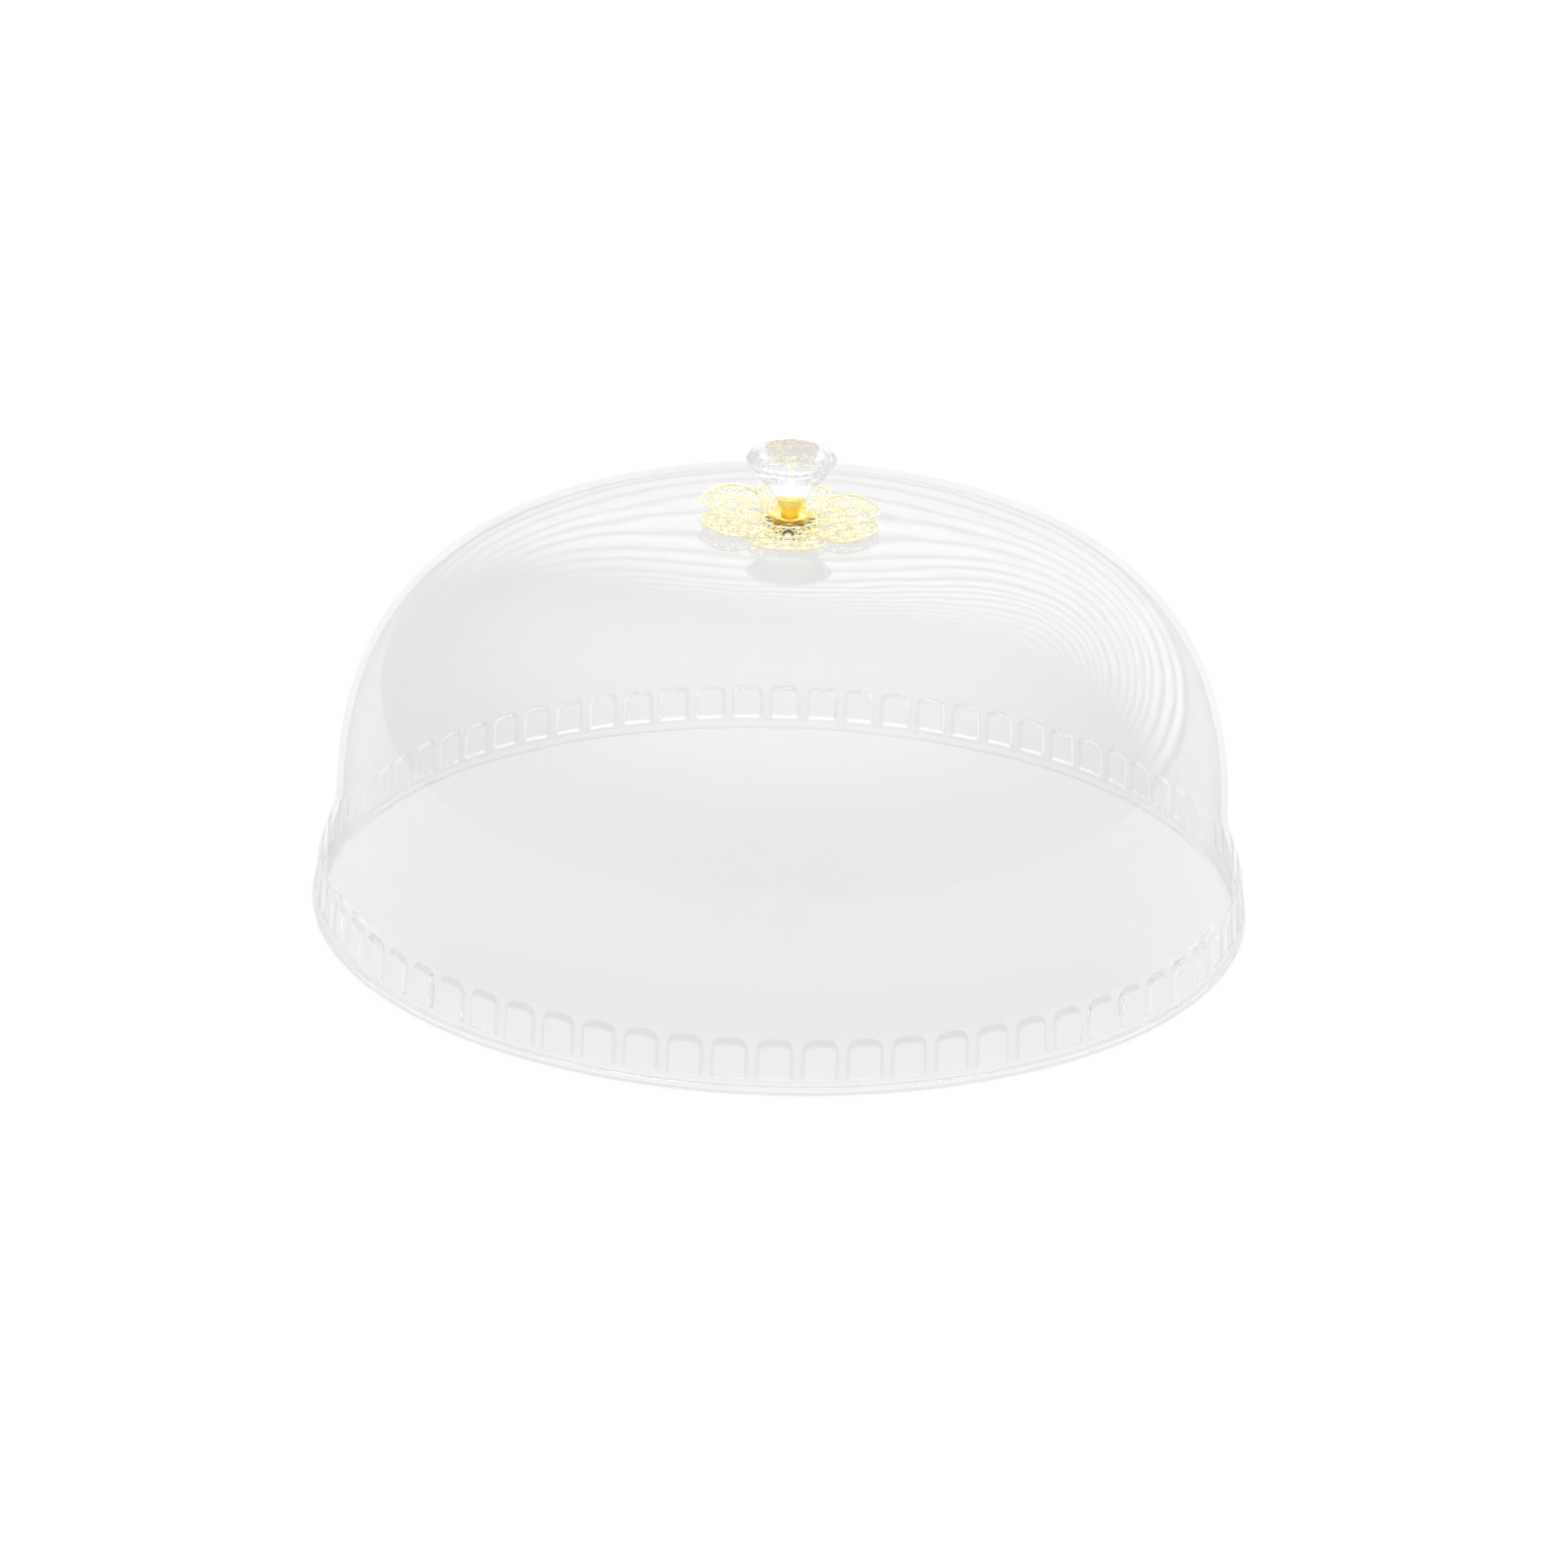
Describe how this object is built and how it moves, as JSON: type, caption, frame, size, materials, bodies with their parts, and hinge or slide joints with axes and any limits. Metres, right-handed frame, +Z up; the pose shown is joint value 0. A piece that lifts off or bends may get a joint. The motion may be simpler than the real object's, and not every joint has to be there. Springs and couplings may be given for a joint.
{
  "type": "cake cover",
  "caption": "Clear domed cake cover with a fluted foot band and flanged rim, lifted by a faceted crystal knob on a gold post over an openwork flower.",
  "frame": {"origin": "centre of the rim's underside, on the dome's axis", "axes": "+Z up along the dome's axis, -Y towards the camera of the picture, +X to its right"},
  "size_m": [0.3, 0.2996, 0.15],
  "materials": {
    "clear_plastic": "clear moulded plastic, glossy on both faces",
    "crystal": "cut and polished",
    "gold": "polished gold plating",
    "pale_gold": "pale gold plating, satin",
    "silicone": "clear silicone, matt",
    "steel": "bright zinc plating"
  },
  "bodies": {
    "root": {"dome_cover": "clear_plastic", "outer_gasket": "silicone", "filigree_flower": "pale_gold", "rosette_cap": "gold", "knob_post": "gold", "crystal_knob": "crystal", "inner_gasket": "silicone", "steel_washer": "steel", "knob_screw": "steel"}
  },
  "joints": []
}
